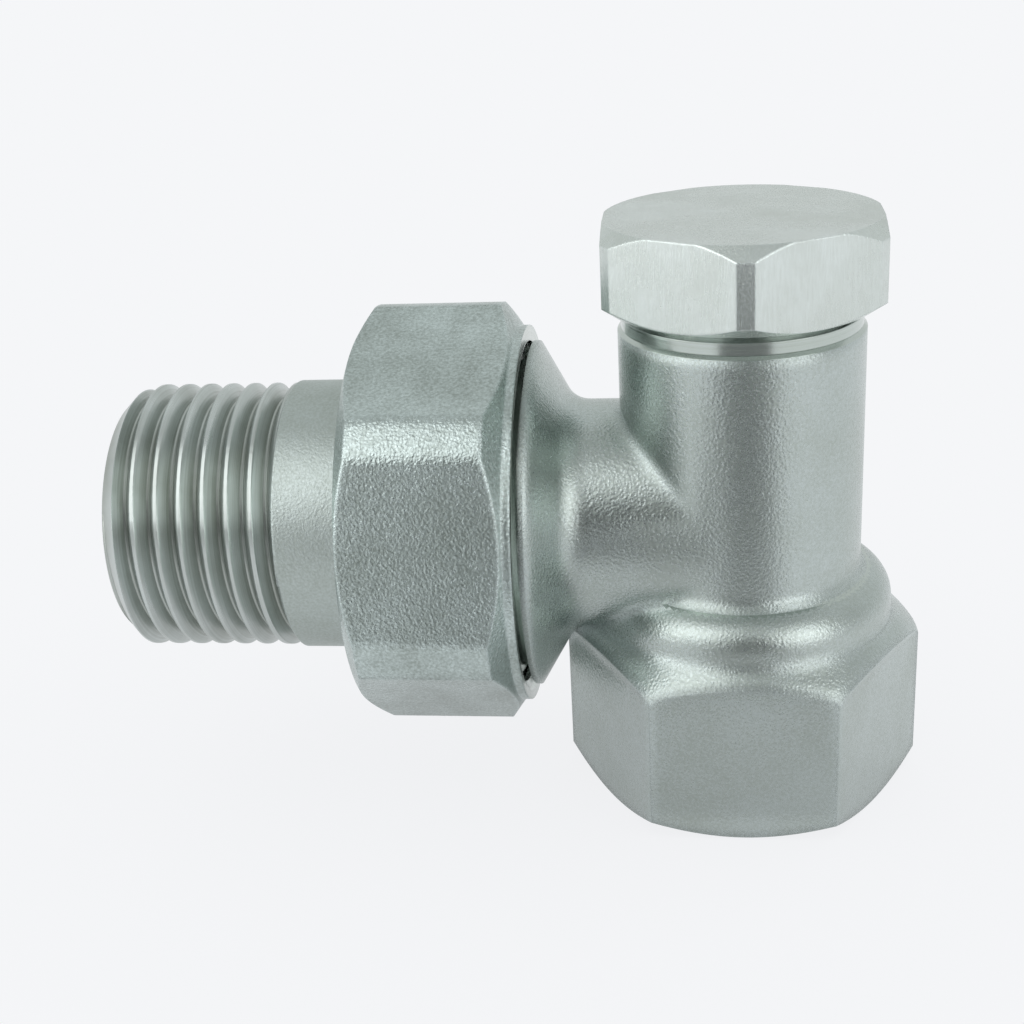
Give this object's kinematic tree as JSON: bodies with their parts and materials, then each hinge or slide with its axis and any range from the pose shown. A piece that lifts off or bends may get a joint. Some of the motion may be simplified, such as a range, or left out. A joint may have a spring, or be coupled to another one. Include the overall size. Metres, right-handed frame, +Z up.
{
  "type": "angle lockshield radiator valve",
  "caption": "Angle radiator return valve with a hexagonal cap over a regulating spindle, a female pipe inlet below and a union nut with a male threaded radiator tail at the side.",
  "frame": {"origin": "centre of the inlet hexagon's lower face, where the neck's axis leaves the mouth of the pipe thread", "axes": "+Z up along the neck to the cap, -X along the branch to the radiator tail, +Y away from the picture's viewer"},
  "size_m": [0.0618, 0.032, 0.0452],
  "materials": {
    "nickel_forged": "nickel plated over a shot-blasted forging, satin and slightly grainy",
    "nickel_turned": "nickel plated, turned",
    "nickel_cap": "nickel plated, finely brushed",
    "nickel_nut": "nickel plated, satin and slightly grainy",
    "nickel_thread": "nickel plated, glossy on the thread",
    "bare_brass": "bare turned brass",
    "seal_rubber": "matte black rubber",
    "fibre": "matte red fibre"
  },
  "bodies": {
    "valve": {"valve_body": "nickel_forged", "bonnet": "nickel_turned", "bonnet_washer": "fibre"},
    "spindle_seals": {"spindle_seal_lower": "seal_rubber", "spindle_seal_upper": "seal_rubber"},
    "spindle": {"spindle": "bare_brass", "seat_washer": "seal_rubber", "washer_plate": "bare_brass", "washer_screw": "bare_brass"},
    "cap_gasket": {"cap_gasket": "fibre"},
    "cap": {"cap": "nickel_cap"},
    "tail": {"tailpiece": "nickel_thread", "tail_seal": "seal_rubber"},
    "union_nut": {"union_nut": "nickel_nut"}
  },
  "joints": [
    {"name": "spindle_lift", "type": "slide", "parent": "valve", "child": "spindle_seals", "axis": [0, 0, 1], "range_m": [0, 0.00301]},
    {"name": "spindle_turn", "type": "hinge", "parent": "spindle_seals", "child": "spindle", "pos_m": [0, 0, 0.038], "axis": [0, 0, 1], "range_deg": [0, 1080]},
    {"name": "cap_lift", "type": "slide", "parent": "valve", "child": "cap_gasket", "axis": [0, 0, 1], "range_m": [0, 0.00401]},
    {"name": "cap_turn", "type": "hinge", "parent": "cap_gasket", "child": "cap", "pos_m": [0, 0, 0.0425], "axis": [0, 0, 1], "range_deg": [0, 1440]},
    {"name": "tail_pull", "type": "slide", "parent": "valve", "child": "tail", "axis": [-1, 0, 0], "range_m": [0, 0.00772]},
    {"name": "nut_turn", "type": "hinge", "parent": "tail", "child": "union_nut", "pos_m": [-0.0225, 0, 0.022], "axis": [-1, 0, 0], "range_deg": [0, 1530]}
  ],
  "couplings": [
    {"joint": "spindle_lift", "follows": "spindle_turn", "m_per_rad": 0.00015915},
    {"joint": "cap_lift", "follows": "cap_turn", "m_per_rad": 0.00015915},
    {"joint": "tail_pull", "follows": "nut_turn", "m_per_rad": 0.00028871}
  ]
}
